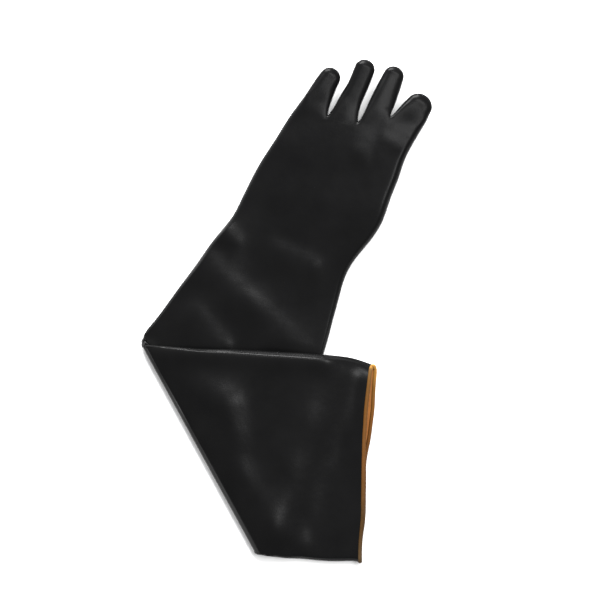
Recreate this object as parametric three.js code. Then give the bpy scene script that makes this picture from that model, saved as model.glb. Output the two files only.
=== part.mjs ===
// Shoulder length rubber glove for the left hand, lying back of the hand up on a floor at Z = 0.
// Units are millimetres. X runs to the right, Y towards the fingertips and Z up from the floor.
// The long sleeve runs down from the hand to a slanting fold, turns over there and comes back
// to the right on top of itself, so its open cuff faces +X.
import * as THREE from "three";

// Driving sizes
const RUBBER_WALL = 1.2;
const LINING_WALL = 1.0;
const PIECE_GAP = 0.3;
const BEAD_RADIUS = 2.1;
const BEAD_LIFT = 0.8;
const FOLD_INNER_RADIUS = 1.0;
const FOLD_THICKNESS = 6.5;
const LAYER_HEIGHT = 11.6;
const FINGER_SQUARENESS = 0.84;
const TIP_ROUNDNESS = 0.96;
// Moves the middle of the outline onto the origin
const CENTRE_SHIFT = 0.7;
// Share of the width of the hand from which it lies on the thumb
const RAISED_FROM = 0.7;
// Distance from the fold over which the returning sleeve climbs to its full height, and the
// distances beyond the edge of the layer below between which it comes down to the floor
const CLIMB_LENGTH = 60;
const DESCENT = { from: 1, to: 50 };
// Rings of the sleeve between the fold and the start of the lining
const UNLINED_RINGS = 2;
// Share of a finger over which its rings turn square to it
const FINGER_TURN = 0.6;
const MITRE_STEADINESS = 0.15;
const LONGEST_MITRE = 1.8;

// How finely the skin is divided
const TOP_STEPS = 16;
const SIDE_STEPS = 4;
const COLUMNS_PER_FINGER = 4;
const FOLD_STEPS = 6;
const BEAD_SIDES = 8;

// Sections of hand and forearm, from behind the knuckles to just before the fold.
// left and right: outline in plan. raise: how far the right part is held up by the thumb below it.
// thick: thickness of the flattened tube near its left and right edge. pinch: how much thinner
// it is in the middle, as a share of the thickness.
const HAND_SECTIONS = [
  { left: [0.5, 200.7], right: [133.6, 179.2], raise: 6.9, thick: [15, 16.8], pinch: 0.04 },
  { left: [-12.1, 180.3], right: [122.6, 158.4], raise: 8.6, thick: [16, 17], pinch: 0.07 },
  { left: [-23.9, 162.5], right: [116.3, 139.6], raise: 9.2, thick: [16, 17], pinch: 0.1 },
  { left: [-33.6, 145.9], right: [109.5, 122.6], raise: 9.2, thick: [16, 17], pinch: 0.12 },
  { left: [-42.1, 129.2], right: [104.3, 107.9], raise: 9.0, thick: [16, 17], pinch: 0.13 },
  { left: [-49.3, 114.5], right: [98.0, 91.2], raise: 8.2, thick: [15, 16], pinch: 0.14 },
  { left: [-57.1, 99.6], right: [86.5, 73.4], raise: 6.5, thick: [14, 15], pinch: 0.15 },
  { left: [-68.6, 84.9], right: [71.8, 55.5], raise: 4.1, thick: [13.5, 14], pinch: 0.16 },
  { left: [-81.2, 69.2], right: [60.3, 35.6], raise: 1.6, thick: [13, 13.5], pinch: 0.18 },
  { left: [-95.9, 48.2], right: [53.4, 11.5], raise: 0, thick: [12, 13], pinch: 0.2 },
  { left: [-111.6, 27.2], right: [47.6, -9.4], raise: 0, thick: [11, 12], pinch: 0.2 },
  { left: [-125.2, 8.4], right: [40.0, -37.7], raise: 0, thick: [9.8, 10], pinch: 0.18 },
  { left: [-136.8, -7.3], right: [26.7, -77.6], raise: 0, thick: [8.8, 9], pinch: 0.14 },
  { left: [-145.6, -17.8], right: [7.9, -135.2], raise: 0, thick: [7.6, 8.2], pinch: 0.1 },
  { left: [-148.3, -21.9], right: [-11.0, -194.9], raise: 0, thick: [6.9, 7.2], pinch: 0.04 },
];

// The line about which the sleeve turns over, and how its two ends shift during the turn.
// turn: share of the half turn. start and end: position along the line, from its origin.
const FOLD_ORIGIN = [-128.1, -64.5];
const FOLD_DIRECTION = [0.48, -0.8773];
const FOLD_ENDS = [
  { turn: 0, start: -45.7, end: 203.8 },
  { turn: 0.5, start: -38.0, end: 211.6 },
  { turn: 1, start: -33.2, end: 217.2 },
];

// Sections of the sleeve after the fold, up to the cuff. left is now the upper edge in plan.
const SLEEVE_SECTIONS = [
  { left: [-116.9, -37.2], right: [-11.0, -257.0], thick: [8.4, 8.0], pinch: 0.04 },
  { left: [-88.6, -39.2], right: [-0.5, -258.4], thick: [10.0, 9.2], pinch: 0.08 },
  { left: [-55.0, -39.9], right: [13.1, -258.9], thick: [11.4, 10.4], pinch: 0.1 },
  { left: [-20.4, -41.7], right: [28.8, -260.4], thick: [12.6, 11.4], pinch: 0.1 },
  { left: [13.1, -43.5], right: [45.6, -261.5], thick: [13.6, 12.2], pinch: 0.1 },
  { left: [44.5, -45.8], right: [60.3, -261.4], thick: [14.4, 12.7], pinch: 0.08 },
  { left: [67.6, -48.9], right: [69.7, -261.4], thick: [15.0, 13.0], pinch: 0.05 },
  { left: [90.0, -55.6], right: [76.0, -262.2], thick: [15.6, 12.8], pinch: 0.03 },
];

// Edge of the mouth: X of the upper and of the lower wall at each Y
const MOUTH_EDGE = [
  { y: -56, upper: 85.4, lower: 90.3 },
  { y: -80, upper: 82.2, lower: 88.4 },
  { y: -103, upper: 79.6, lower: 87.4 },
  { y: -118, upper: 78.8, lower: 85.4 },
  { y: -131, upper: 77.9, lower: 83.8 },
  { y: -144, upper: 77.6, lower: 81.1 },
  { y: -158, upper: 77.2, lower: 78.8 },
  { y: -213, upper: 76.4, lower: 78.2 },
  { y: -244, upper: 73.8, lower: 74.6 },
  { y: -262, upper: 73.4, lower: 74.2 },
];

// The knuckle line in plan: left edge, the three crotches between the fingers, right edge
const KNUCKLE_LEFT = [12.1, 216.9];
const KNUCKLE_RIGHT = [139.9, 189.7];
const KNUCKLE_RAISE = 5.8;
const KNUCKLE_THICK = 15.5;
const CROTCHES = [[42.4, 204.4], [73.9, 197.6], [108.6, 203.4]];
// Step from a crotch back to the knuckle line behind it
const CROTCH_SETBACK = [-1.6, -3.6];

// Fingers from the little finger to the index finger. Each row is a place on the centre line,
// with the half width, the thickness and the height of the underside there. The last row is
// where the round tip begins.
const FINGERS = [
  [
    { x: 27.2, y: 211.2, half: 15.6, thick: 15.5, low: 0.3 },
    { x: 35.1, y: 227.4, half: 13.1, thick: 14.8, low: 0.1 },
    { x: 41.2, y: 238.7, half: 11.7, thick: 13.6, low: 0 },
    { x: 44.6, y: 244.0, half: 11.0, thick: 12.6, low: 0.3 },
  ],
  [
    { x: 58.2, y: 201.7, half: 14.6, thick: 15.5, low: 2.8 },
    { x: 66.3, y: 221.0, half: 11.9, thick: 14.8, low: 1.1 },
    { x: 72.9, y: 233.7, half: 10.9, thick: 14.2, low: 0.4 },
    { x: 80.7, y: 252.7, half: 10.7, thick: 12.6, low: 0.3 },
  ],
  [
    { x: 91.4, y: 201.2, half: 16.0, thick: 15.5, low: 5.5 },
    { x: 97.7, y: 214.8, half: 13.5, thick: 14.8, low: 3.9 },
    { x: 105.9, y: 233.7, half: 12.0, thick: 13.8, low: 1.6 },
    { x: 110.9, y: 245.4, half: 10.9, thick: 12.6, low: 0.6 },
  ],
  [
    { x: 126.0, y: 197.5, half: 16.6, thick: 15.4, low: 5.7 },
    { x: 130.9, y: 205.1, half: 15.8, thick: 15.0, low: 5.5 },
    { x: 134.4, y: 210.0, half: 14.8, thick: 14.6, low: 5.4 },
    { x: 137.0, y: 213.4, half: 14.1, thick: 14.2, low: 5.3 },
  ],
];
// Places of the rings along a finger, and how far each still has the flat top of the knuckles.
// The index finger shows so little of its length that two rings do.
const LONG_STATIONS = [
  { along: 0.16, boxy: 0.45 },
  { along: 0.34, boxy: 0.18 },
  { along: 0.54, boxy: 0.05 },
  { along: 0.76, boxy: 0 },
  { along: 1, boxy: 0 },
];
const SHORT_STATIONS = [
  { along: 0.4, boxy: 0.3 },
  { along: 1, boxy: 0.05 },
];
const FINGER_STATIONS = [LONG_STATIONS, LONG_STATIONS, LONG_STATIONS, SHORT_STATIONS];

// The thumb leaves the underside of the palm between these sections and columns of the skin
const THUMB_SECTION = 4;
const THUMB_COLUMN = 10;
// Thumb sections: near is the edge touching the palm, far the edge lying on the floor.
// boxy: share by which the section still has the corners and the slant of the place it leaves.
const THUMB = [
  { near: [73.0, 128.0, 6.5], far: [42.0, 70.0, 2.2], half: 16.0, boxy: 0.5 },
  { near: [76.4, 134.5, 7.0], far: [57.0, 90.0, 0], half: 16.0, boxy: 0.25 },
  { near: [78.4, 141.5, 7.5], far: [69.0, 112.0, -0.4], half: 15.0, boxy: 0.1 },
  { near: [77.4, 148.5, 7.8], far: [75.0, 132.5, -0.4], half: 14.0, boxy: 0 },
  { near: [74.8, 156.0, 7.8], far: [74.4, 150.0, -0.4], half: 12.8, boxy: 0 },
  { near: [72.0, 163.0, 7.8], far: [72.0, 163.0, -0.4], half: 11.8, boxy: 0 },
];

// Soft ridges of the skin that faces up. path: the crest in plan. spread: half width across.
const HAND_RIDGES = [
  { path: [[-77, 51], [-14, -16], [26, -44]], spread: 14, rise: 2.4 },
  { path: [[-96, -4], [-66, -38]], spread: 11, rise: 1.6 },
  { path: [[-70, 82], [-60, 77]], spread: 8, rise: 1.8 },
  { path: [[-8, 61], [26, 49]], spread: 9, rise: 1.4 },
  { path: [[66, 168], [80, 163]], spread: 5, rise: 0.8 },
  { path: [[101, 179], [123, 167]], spread: 5, rise: 1.0 },
];
const SLEEVE_RIDGES = [
  { path: [[-115, -70], [-60, -92], [-54, -160], [8, -243]], spread: 17, rise: 2.4 },
];

const UP = new THREE.Vector3(0, 0, 1);
const mix = THREE.MathUtils.lerp;
const smooth = THREE.MathUtils.smoothstep;
const plan = ([x, y]) => new THREE.Vector3(x, y, 0);

// Places of one ring of skin points round the flattened tube. across runs from the left to the
// right edge rounding, out goes beyond it into the rounding, back is 1 on the back of the hand
// and 0 on the palm side.
function ringPlaces() {
  const arc = (degrees) => {
    const angle = THREE.MathUtils.degToRad(degrees);
    return { across: degrees < 0 ? 0 : 1, out: Math.sin(angle), back: 0.5 + 0.5 * Math.cos(angle) };
  };
  const flat = (back) => Array.from({ length: TOP_STEPS - 1 }, (_, i) => (
    { across: i / (TOP_STEPS - 2), out: 0, back }));
  return [
    arc(-30), ...flat(1), arc(30),
    arc(60), arc(90), arc(120),
    arc(150), ...flat(0).reverse(), arc(-150),
    arc(-120), arc(-90), arc(-60),
  ];
}
const RING = ringPlaces();
const RING_SIZE = RING.length;
const topIndex = (column) => column;
const bottomIndex = (column) => TOP_STEPS + SIDE_STEPS + (TOP_STEPS - column);

// Thickness of a section and the share of its width at one place of the ring
function placeOnSection(section, width, place) {
  const edge = mix(section.thick[0], section.thick[1], place.across);
  const middle = Math.sin(Math.PI * place.across) ** 2;
  const reach = [section.thick[0] / 2, section.thick[1] / 2];
  const inner = width - reach[0] - reach[1];
  const along = reach[0] + place.across * inner + place.out * edge / 2;
  return { share: along / width, thickness: edge * (1 - section.pinch * middle) };
}

// Height that the ridges add at a point seen from above
function relief(ridges, x, y) {
  const point = new THREE.Vector3(x, y, 0);
  return ridges.reduce((sum, { path, spread, rise }) => {
    const distances = path.slice(1).map((end, i) => new THREE.Line3(plan(path[i]), plan(end))
      .closestPointToPoint(point, true, new THREE.Vector3()).distanceTo(point));
    return sum + rise * Math.exp(-((Math.min(...distances) / spread) ** 2));
  }, 0);
}

// Signed distance beyond the right edge of the layer that lies underneath
function beyondLowerLayer(point) {
  const edge = HAND_SECTIONS.slice(8).map((section) => plan(section.right));
  edge.push(foldPoint(FOLD_ENDS[0].end));
  let best = Infinity;
  let side = 1;
  for (let i = 0; i + 1 < edge.length; i += 1) {
    const nearest = new THREE.Line3(edge[i], edge[i + 1])
      .closestPointToPoint(point, true, new THREE.Vector3());
    const distance = nearest.distanceTo(point);
    if (distance < best) {
      best = distance;
      const run = edge[i + 1].clone().sub(edge[i]);
      side = Math.sign(run.cross(point.clone().sub(edge[i])).z);
    }
  }
  return best * side;
}

function foldPoint(position) {
  return plan(FOLD_ORIGIN).addScaledVector(plan(FOLD_DIRECTION), position);
}

// Height of what the returning sleeve rests on: the layer below, then down to the floor
function support(point) {
  const inward = new THREE.Vector3(-FOLD_DIRECTION[1], FOLD_DIRECTION[0], 0);
  const fromFold = point.clone().sub(plan(FOLD_ORIGIN)).dot(inward);
  const atFold = FOLD_THICKNESS + 2 * FOLD_INNER_RADIUS;
  const onLayer = mix(atFold, LAYER_HEIGHT, smooth(fromFold, 0, CLIMB_LENGTH));
  return onLayer * (1 - smooth(beyondLowerLayer(point), DESCENT.from, DESCENT.to));
}

// A ring of the hand or forearm, lying on the floor or on the thumb
function handRing(section, lineAt) {
  const width = plan(section.left).distanceTo(plan(section.right));
  return RING.map((place) => {
    const { share, thickness } = placeOnSection(section, width, place);
    const point = lineAt ? lineAt(share) : plan(section.left).lerp(plan(section.right), share);
    const held = section.raise * smooth(share, 0, RAISED_FROM);
    point.z = held + place.back * (thickness + relief(HAND_RIDGES, point.x, point.y));
    return point;
  });
}

// A ring part of the way round the fold
function foldRing(turn) {
  const half = turn < 0.5 ? 0 : 1;
  const [from, to] = [FOLD_ENDS[half], FOLD_ENDS[half + 1]];
  const part = (turn - from.turn) / (to.turn - from.turn);
  const start = mix(from.start, to.start, part);
  const end = mix(from.end, to.end, part);
  const axisHeight = FOLD_INNER_RADIUS + FOLD_THICKNESS;
  const inward = new THREE.Vector3(-FOLD_DIRECTION[1], FOLD_DIRECTION[0], 0);
  const angle = Math.PI * turn;
  const outward = UP.clone().multiplyScalar(-Math.cos(angle)).addScaledVector(inward, -Math.sin(angle));
  const section = { thick: [FOLD_THICKNESS, FOLD_THICKNESS], pinch: 0 };
  return RING.map((place) => {
    const { share } = placeOnSection(section, end - start, place);
    const radius = FOLD_INNER_RADIUS + (1 - place.back) * FOLD_THICKNESS;
    const point = foldPoint(mix(start, end, share));
    point.z = axisHeight;
    return point.addScaledVector(outward, radius);
  });
}

// A ring of the sleeve on its way back; its palm side now faces up
function sleeveRing(section) {
  const width = plan(section.left).distanceTo(plan(section.right));
  return RING.map((place) => {
    const { share, thickness } = placeOnSection(section, width, place);
    const point = plan(section.left).lerp(plan(section.right), share);
    const bulge = relief(SLEEVE_RIDGES, point.x, point.y);
    point.z = support(point) + (1 - place.back) * (thickness + bulge);
    return point;
  });
}

// The last ring, drawn out to the two edges of the mouth and lifted so that its bead clears the floor
function mouthRing(section) {
  const edgeAt = (y, side) => {
    const below = MOUTH_EDGE.slice(1).find((row) => row.y <= y) ?? MOUTH_EDGE.at(-1);
    const above = MOUTH_EDGE[MOUTH_EDGE.indexOf(below) - 1];
    const part = THREE.MathUtils.clamp((above.y - y) / (above.y - below.y), 0, 1);
    return mix(above[side], below[side], part);
  };
  return sleeveRing(section).map((point, i) => {
    point.x = mix(edgeAt(point.y, "upper"), edgeAt(point.y, "lower"), RING[i].back);
    point.z += BEAD_LIFT;
    return point;
  });
}

// The first ring runs through the crotches between the fingers
function knuckleRing() {
  const section = {
    left: KNUCKLE_LEFT, right: KNUCKLE_RIGHT, raise: KNUCKLE_RAISE,
    thick: [KNUCKLE_THICK, KNUCKLE_THICK], pinch: 0,
  };
  const width = plan(KNUCKLE_LEFT).distanceTo(plan(KNUCKLE_RIGHT));
  const shares = CROTCHES.map((_, i) => (
    placeOnSection(section, width, RING[topIndex((i + 1) * COLUMNS_PER_FINGER)]).share));
  const knots = [0, ...shares, 1];
  const behindCrotches = CROTCHES.map((crotch) => plan(crotch).add(plan(CROTCH_SETBACK)));
  const line = [plan(KNUCKLE_LEFT), ...behindCrotches, plan(KNUCKLE_RIGHT)];
  return handRing(section, (share) => {
    const next = Math.min(line.length - 1, Math.max(1, knots.findIndex((knot) => knot >= share)));
    const part = (share - knots[next - 1]) / (knots[next] - knots[next - 1]);
    return line[next - 1].clone().lerp(line[next], part);
  });
}

// Skin of the whole glove: points and outward four-sided faces
const skin = { points: [], faces: [] };
const addPoint = (point) => skin.points.push(point.clone().setZ(Math.max(point.z, 0))) - 1;
const addRing = (ring) => ring.map(addPoint);

function joinRings(from, to) {
  for (let i = 0; i < from.length; i += 1) {
    const next = (i + 1) % from.length;
    skin.faces.push([from[i], to[i], to[next], from[next]]);
  }
}

// Closes a finger ring with a round tip of four by four faces
function roundTip(ring, centre, reach) {
  const steps = COLUMNS_PER_FINGER;
  const quarter = Math.PI / 4;
  const grid = Array.from({ length: steps + 1 }, () => Array(steps + 1));
  const edge = (row, column) => {
    if (row === 0) return ring[column];
    if (column === steps) return ring[steps + row];
    if (row === steps) return ring[3 * steps - column];
    return ring[(4 * steps - row) % ring.length];
  };
  for (let row = 0; row <= steps; row += 1) {
    for (let column = 0; column <= steps; column += 1) {
      const across = 2 * column / steps - 1;
      const down = 2 * row / steps - 1;
      const distance = Math.max(Math.abs(across), Math.abs(down));
      if (distance === 1) {
        grid[row][column] = edge(row, column);
        continue;
      }
      const rim = distance === 0 ? centre : skin.points[
        edge(Math.round(steps * (down / distance + 1) / 2), Math.round(steps * (across / distance + 1) / 2))];
      const angle = distance * quarter;
      const shrink = Math.sin(angle) / Math.sin(quarter);
      const lift = (Math.cos(angle) - Math.cos(quarter)) / (1 - Math.cos(quarter));
      const point = centre.clone().lerp(rim, shrink).addScaledVector(reach, lift);
      grid[row][column] = addPoint(point);
    }
  }
  for (let row = 0; row < steps; row += 1) {
    for (let column = 0; column < steps; column += 1) {
      skin.faces.push([grid[row][column], grid[row][column + 1], grid[row + 1][column + 1],
        grid[row + 1][column]]);
    }
  }
}

// One ring of a finger or the thumb, in the same order as the rings of the hand.
// boxy draws the oval out towards a rectangle with evenly spaced points.
function ovalRing({ centre, side, up, half, thick, boxy = 0 }) {
  const bulge = (value) => Math.sign(value) * Math.abs(value) ** FINGER_SQUARENESS;
  return Array.from({ length: 4 * COLUMNS_PER_FINGER }, (_, i) => {
    const angle = THREE.MathUtils.degToRad(135 - 22.5 * i);
    const run = 2 * (i % COLUMNS_PER_FINGER) / COLUMNS_PER_FINGER - 1;
    const box = [[run, 1], [1, -run], [-run, -1], [-1, run]][Math.floor(i / COLUMNS_PER_FINGER)];
    return centre.clone()
      .addScaledVector(side, half * mix(bulge(Math.cos(angle)), box[0], boxy))
      .addScaledVector(up, thick / 2 * mix(bulge(Math.sin(angle)), box[1], boxy));
  });
}

// Runs a tube on from a root ring through the given ovals and closes it with a round tip.
// The tip has two more rings on its way round before the last faces close it.
function closeTube(root, ovals) {
  let last = root;
  for (const oval of ovals) {
    const ring = addRing(ovalRing(oval));
    joinRings(ring, last);
    last = ring;
  }
  const end = ovals[ovals.length - 1];
  const ahead = new THREE.Vector3().crossVectors(end.up, end.side).normalize();
  const tipReach = TIP_ROUNDNESS * end.half;
  for (const degrees of [22.5, 45]) {
    const angle = THREE.MathUtils.degToRad(degrees);
    const centre = end.centre.clone().addScaledVector(ahead, tipReach * Math.sin(angle));
    const shrink = Math.cos(angle);
    const ring = addRing(ovalRing(
      { centre, side: end.side, up: end.up, half: end.half * shrink, thick: end.thick * shrink }));
    joinRings(ring, last);
    last = ring;
  }
  const centre = end.centre.clone().addScaledVector(ahead, tipReach * Math.SQRT1_2);
  roundTip(last, centre, ahead.multiplyScalar(tipReach * (1 - Math.SQRT1_2)));
}

function addFinger(rows, stations, root, rootSide) {
  const curve = (place) => new THREE.CatmullRomCurve3(rows.map((row) => new THREE.Vector3(...place(row))));
  const centreLine = curve(({ x, y }) => [x, y, 0]);
  const sizes = curve(({ half, thick, low }) => [half, thick, low]);
  closeTube(root, stations.map(({ along, boxy }) => {
    const { x: half, y: thick, z: low } = sizes.getPoint(along);
    const square = centreLine.getTangent(along).cross(UP);
    return {
      centre: centreLine.getPoint(along).setZ(low + thick / 2),
      side: rootSide.clone().lerp(square, smooth(along, 0, FINGER_TURN)).normalize(),
      up: UP.clone(),
      half,
      thick,
      boxy,
    };
  }));
}

function addThumb(root) {
  const rootSide = skin.points[root[COLUMNS_PER_FINGER]].clone().sub(skin.points[root[0]]).normalize();
  const middle = (row) => plan(row.near).add(plan(row.far)).multiplyScalar(0.5);
  closeTube(root, THUMB.map((row, i) => {
    const before = THUMB[Math.max(i - 1, 0)];
    const after = THUMB[Math.min(i + 1, THUMB.length - 1)];
    const square = middle(after).sub(middle(before)).normalize().cross(UP);
    const [near, far] = [new THREE.Vector3(...row.near), new THREE.Vector3(...row.far)];
    return {
      centre: near.clone().add(far).multiplyScalar(0.5),
      side: square.lerp(rootSide, row.boxy).normalize(),
      up: near.clone().sub(far).normalize(),
      half: row.half,
      thick: near.distanceTo(far),
      boxy: row.boxy,
    };
  }));
}

// Builds the skin from the knuckles to the mouth, then the fingers and the thumb
function buildSkin() {
  const rings = [
    knuckleRing(),
    ...HAND_SECTIONS.map((section) => handRing(section)),
    ...Array.from({ length: FOLD_STEPS + 1 }, (_, i) => foldRing(i / FOLD_STEPS)),
    ...SLEEVE_SECTIONS.slice(0, -1).map((section) => sleeveRing(section)),
    mouthRing(SLEEVE_SECTIONS[SLEEVE_SECTIONS.length - 1]),
  ].map(addRing);

  const hole = (section, index) => {
    const column = bottomIndex(0) - index;
    const insideSections = section >= THUMB_SECTION && section < THUMB_SECTION + COLUMNS_PER_FINGER;
    return insideSections && column > THUMB_COLUMN && column <= THUMB_COLUMN + COLUMNS_PER_FINGER;
  };
  for (let s = 0; s + 1 < rings.length; s += 1) {
    for (let i = 0; i < RING_SIZE; i += 1) {
      const next = (i + 1) % RING_SIZE;
      if (!hole(s, i)) skin.faces.push([rings[s][i], rings[s + 1][i], rings[s + 1][next], rings[s][next]]);
    }
  }

  const knuckles = rings[0];
  const webs = CROTCHES.map((crotch, i) => {
    const column = (i + 1) * COLUMNS_PER_FINGER;
    const top = skin.points[knuckles[topIndex(column)]];
    const bottom = skin.points[knuckles[bottomIndex(column)]];
    return [0.25, 0.5, 0.75].map((part) => addPoint(plan(crotch).setZ(mix(top.z, bottom.z, part))));
  });
  const span = (first, last, index) => Array.from(
    { length: COLUMNS_PER_FINGER + 1 }, (_, i) => knuckles[index(first + Math.sign(last - first) * i)]);
  const rightEdge = knuckles.slice(TOP_STEPS + 1, TOP_STEPS + SIDE_STEPS);
  const leftEdge = knuckles.slice(RING_SIZE - SIDE_STEPS + 1);
  FINGERS.forEach((rows, finger) => {
    const left = finger * COLUMNS_PER_FINGER;
    const right = left + COLUMNS_PER_FINGER;
    const rightSide = webs[finger] ?? rightEdge;
    const leftSide = webs[finger - 1]?.toReversed() ?? leftEdge;
    const root = [
      ...span(left, right, topIndex), ...rightSide, ...span(right, left, bottomIndex), ...leftSide,
    ];
    const ends = [KNUCKLE_LEFT, ...CROTCHES, KNUCKLE_RIGHT].map(plan);
    addFinger(rows, FINGER_STATIONS[finger], root, ends[finger + 1].clone().sub(ends[finger]).normalize());
  });

  const at = (section, column) => rings[THUMB_SECTION + section][bottomIndex(THUMB_COLUMN + column)];
  const thumbRoot = [
    ...[0, 1, 2, 3].map((i) => at(0, i)), ...[0, 1, 2, 3].map((i) => at(i, 4)),
    ...[4, 3, 2, 1].map((i) => at(4, i)), ...[4, 3, 2, 1].map((i) => at(i, 0)),
  ];
  addThumb(thumbRoot);
  return rings;
}

// Outward step at each point that moves all the faces round it out by one unit, as a mitre does.
// Faces count by their corner angle, and a little of the plain average keeps flat places steady.
function skinMitres() {
  const faceNormals = skin.points.map(() => []);
  const triangle = new THREE.Triangle();
  for (const face of skin.faces) {
    face.forEach((index, corner) => {
      const here = skin.points[index];
      const next = skin.points[face[(corner + 1) % 4]];
      const before = skin.points[face[(corner + 3) % 4]];
      const weight = next.clone().sub(here).angleTo(before.clone().sub(here));
      const normal = triangle.set(here, next, before).getNormal(new THREE.Vector3());
      faceNormals[index].push({ normal, weight });
    });
  }
  return faceNormals.map((list) => {
    const sum = new THREE.Vector3();
    list.forEach(({ normal, weight }) => sum.addScaledVector(normal, weight));
    const average = sum.clone().normalize();
    const spread = (a, b) => list.reduce((total, { normal, weight }) => (
      total + weight * normal[a] * normal[b]), a === b ? MITRE_STEADINESS : 0);
    const [xy, xz, yz] = [spread("x", "y"), spread("x", "z"), spread("y", "z")];
    const planes = new THREE.Matrix3(
      spread("x", "x"), xy, xz, xy, spread("y", "y"), yz, xz, yz, spread("z", "z"));
    return sum.addScaledVector(average, MITRE_STEADINESS)
      .applyMatrix3(planes.invert()).clampLength(1, LONGEST_MITRE);
  });
}

const rings = buildSkin();
const mitres = skinMitres();
const inset = (index, depth) => skin.points[index].clone().addScaledVector(mitres[index], -depth);

function solid(name, points, faces, look) {
  const geometry = new THREE.BufferGeometry();
  geometry.setAttribute("position", new THREE.Float32BufferAttribute(points.flatMap((p) => p.toArray()), 3));
  geometry.setIndex(faces.flatMap(([a, b, c, d]) => [a, b, c, a, c, d]));
  geometry.computeVertexNormals();
  const mesh = new THREE.Mesh(geometry, new THREE.MeshStandardMaterial(look));
  mesh.name = name;
  return mesh;
}

// The black glove: the skin, the same skin set in by the wall, and the edge of the mouth
function gloveBody() {
  const count = skin.points.length;
  const points = [...skin.points, ...skin.points.map((_, i) => inset(i, RUBBER_WALL))];
  const inside = skin.faces.map(([a, b, c, d]) => [a + count, d + count, c + count, b + count]);
  const mouth = rings[rings.length - 1];
  const rim = mouth.map((index, i) => {
    const next = mouth[(i + 1) % RING_SIZE];
    return [index, index + count, next + count, next];
  });
  return solid("glove_body", points, [...skin.faces, ...inside, ...rim],
    { color: "#1c1c1d", roughness: 0.62, metalness: 0 });
}

// The orange lining, from the mouth to near the fold
function lining() {
  const first = HAND_SECTIONS.length + FOLD_STEPS + 2 + UNLINED_RINGS;
  const lined = rings.slice(first);
  const shell = lined.flatMap((ring) => ring.map((index) => inset(index, RUBBER_WALL + PIECE_GAP)));
  const hollow = lined.flatMap((ring) => ring.map((index) => (
    inset(index, RUBBER_WALL + PIECE_GAP + LINING_WALL))));
  const faces = [];
  const count = shell.length;
  for (let i = 0; i < RING_SIZE; i += 1) {
    const next = (i + 1) % RING_SIZE;
    for (let s = 0; s + 1 < lined.length; s += 1) {
      const [a, b, c, d] = [s, s + 1, s + 1, s].map((ring, corner) => (
        ring * RING_SIZE + (corner < 2 ? i : next)));
      faces.push([a, b, c, d], [a + count, d + count, c + count, b + count]);
    }
    const end = (lined.length - 1) * RING_SIZE;
    faces.push([end + i, end + i + count, end + next + count, end + next]);
    faces.push([next, next + count, i + count, i]);
  }
  return solid("lining", [...shell, ...hollow], faces, { color: "#b9742a", roughness: 0.7, metalness: 0 });
}

// The rolled orange bead round the mouth
function cuffBead() {
  const mouth = rings[rings.length - 1];
  const wall = RUBBER_WALL + PIECE_GAP + LINING_WALL;
  const points = mouth.flatMap((index, i) => {
    const across = mitres[index].clone().normalize();
    const next = skin.points[mouth[(i + 1) % RING_SIZE]];
    const before = skin.points[mouth[(i + RING_SIZE - 1) % RING_SIZE]];
    const ahead = next.clone().sub(before).cross(across).normalize();
    const centre = inset(index, wall / 2).addScaledVector(ahead, PIECE_GAP + BEAD_RADIUS);
    return Array.from({ length: BEAD_SIDES }, (_, side) => {
      const angle = 2 * Math.PI * (side + 0.5) / BEAD_SIDES;
      const point = centre.clone()
        .addScaledVector(across, BEAD_RADIUS * Math.cos(angle))
        .addScaledVector(ahead, BEAD_RADIUS * Math.sin(angle));
      return point.setZ(Math.max(point.z, 0));
    });
  });
  const faces = mouth.flatMap((_, i) => Array.from({ length: BEAD_SIDES }, (_side, side) => {
    const next = (i + 1) % RING_SIZE;
    const turn = (side + 1) % BEAD_SIDES;
    return [i * BEAD_SIDES + side, i * BEAD_SIDES + turn, next * BEAD_SIDES + turn, next * BEAD_SIDES + side];
  }));
  return solid("cuff_bead", points, faces, { color: "#b07a3c", roughness: 0.55, metalness: 0 });
}

const glove = new THREE.Group();
glove.name = "rubber_glove";
glove.position.x = CENTRE_SHIFT;
glove.add(gloveBody(), lining(), cuffBead());

export default glove;
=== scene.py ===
"""Looks of the shoulder length rubber glove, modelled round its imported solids.

The glove lies with the back of the hand up. Its sleeve turns over at a slanting fold and comes
back to the right on top of itself, so the open cuff faces right. Shapes are worked out in
millimetres and become metres when a mesh is made.
"""
import math

import bpy
import numpy as np
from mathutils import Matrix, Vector, noise


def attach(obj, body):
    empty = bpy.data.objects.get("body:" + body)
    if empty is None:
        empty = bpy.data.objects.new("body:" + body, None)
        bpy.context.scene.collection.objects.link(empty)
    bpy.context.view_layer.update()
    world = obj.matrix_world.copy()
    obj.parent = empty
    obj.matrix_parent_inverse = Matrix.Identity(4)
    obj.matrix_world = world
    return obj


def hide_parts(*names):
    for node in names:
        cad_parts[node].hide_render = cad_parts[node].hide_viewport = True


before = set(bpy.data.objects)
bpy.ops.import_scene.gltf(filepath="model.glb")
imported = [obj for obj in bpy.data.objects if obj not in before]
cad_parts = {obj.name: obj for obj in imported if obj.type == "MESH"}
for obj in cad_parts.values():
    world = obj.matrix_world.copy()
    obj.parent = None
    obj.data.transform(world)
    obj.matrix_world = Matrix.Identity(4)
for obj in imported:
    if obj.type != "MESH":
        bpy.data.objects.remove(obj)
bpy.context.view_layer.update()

MM = 0.001

# Driving sizes, the same as those of the solids
RUBBER_WALL = 1.2
LINING_WALL = 1.0
PIECE_GAP = 0.3
BEAD_RADIUS = 2.1
BEAD_LIFT = 0.8
FOLD_INNER_RADIUS = 1.0
FOLD_THICKNESS = 6.5
LAYER_HEIGHT = 11.6
FINGER_SQUARENESS = 0.84
TIP_ROUNDNESS = 0.96
CENTRE_SHIFT = 0.7
# Share of the width of the hand from which it lies on the thumb
LIFTED_FROM = 0.7
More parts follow.
